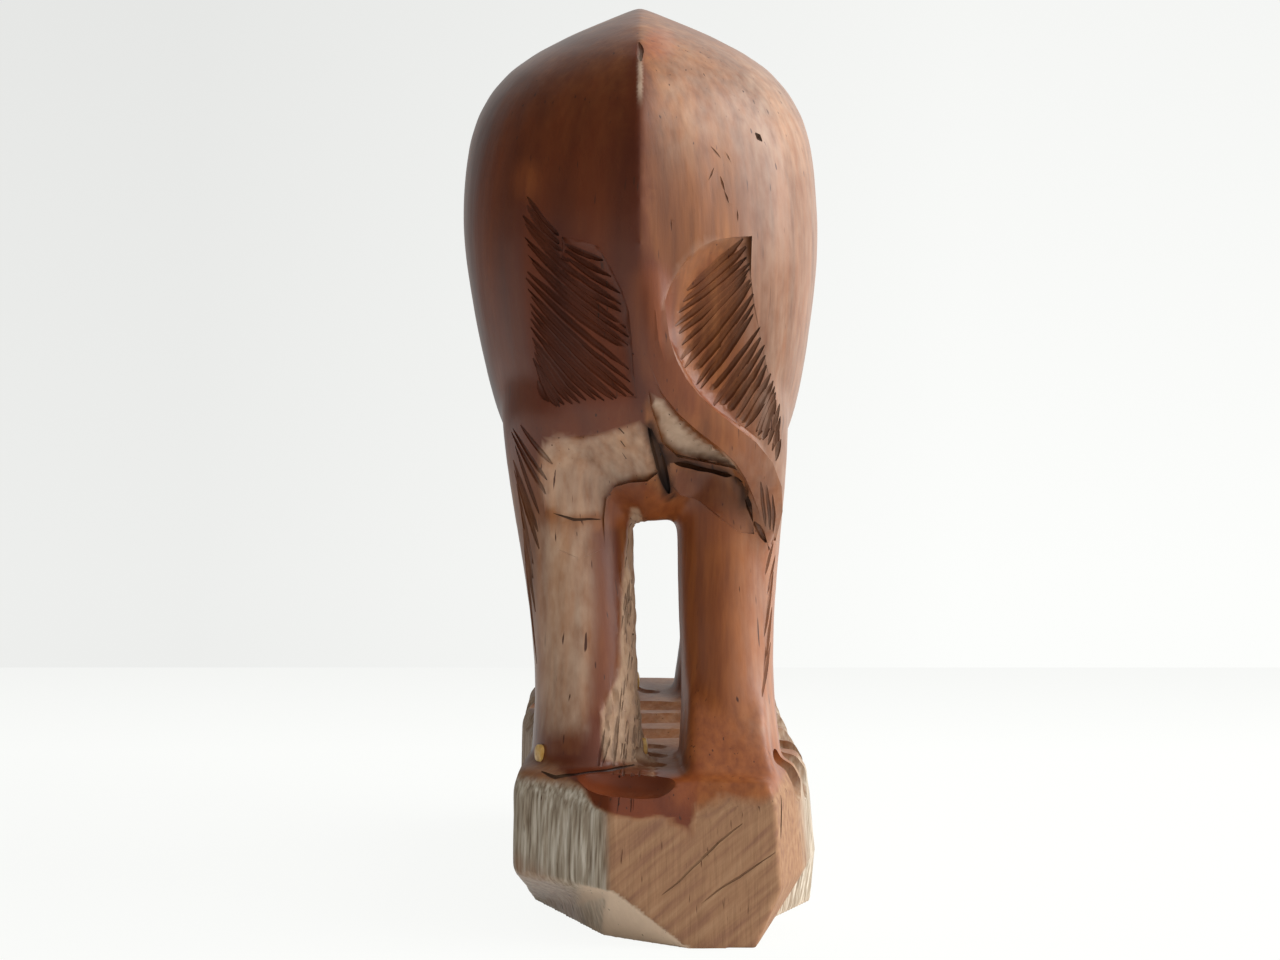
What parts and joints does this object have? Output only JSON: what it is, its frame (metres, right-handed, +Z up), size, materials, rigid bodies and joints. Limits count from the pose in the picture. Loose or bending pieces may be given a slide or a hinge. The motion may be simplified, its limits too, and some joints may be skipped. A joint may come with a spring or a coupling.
{
  "type": "carved elephant figurine",
  "caption": "Hand-carved wooden elephant standing on a rough-hewn ground block of the same wood, with push-fit tusks, inlaid eyes and inlaid toenails.",
  "frame": {"origin": "middle of the ground block's flat underside, on the table", "axes": "the elephant faces -Y, its left side is +X, +Z is up"},
  "size_m": [0.1032, 0.2569, 0.26],
  "materials": {
    "carved_hardwood": "varnished reddish-brown hardwood, worn to raw wood on the ground block",
    "pale_inlay": "polished pale wood",
    "dark_eye": "polished black"
  },
  "bodies": {
    "elephant": {"carved_block": "carved_hardwood", "left_eye": "dark_eye", "right_eye": "dark_eye", "left_hind_toenail_1": "pale_inlay", "left_hind_toenail_2": "pale_inlay", "left_hind_toenail_3": "pale_inlay", "left_hind_toenail_4": "pale_inlay", "right_hind_toenail_1": "pale_inlay", "right_hind_toenail_2": "pale_inlay", "right_hind_toenail_3": "pale_inlay", "right_hind_toenail_4": "pale_inlay", "left_fore_toenail_1": "pale_inlay", "left_fore_toenail_2": "pale_inlay", "left_fore_toenail_3": "pale_inlay", "left_fore_toenail_4": "pale_inlay", "right_fore_toenail_1": "pale_inlay", "right_fore_toenail_2": "pale_inlay", "right_fore_toenail_3": "pale_inlay", "right_fore_toenail_4": "pale_inlay"},
    "left_tusk": {"left_tusk": "pale_inlay"},
    "right_tusk": {"right_tusk": "pale_inlay"}
  },
  "joints": [
    {"name": "left_tusk_pull", "type": "slide", "parent": "elephant", "child": "left_tusk", "axis": [0.1233, -0.7783, -0.6157], "range_m": [0, 0.02]},
    {"name": "right_tusk_pull", "type": "slide", "parent": "elephant", "child": "right_tusk", "axis": [-0.1233, -0.7783, -0.6157], "range_m": [0, 0.02]}
  ]
}
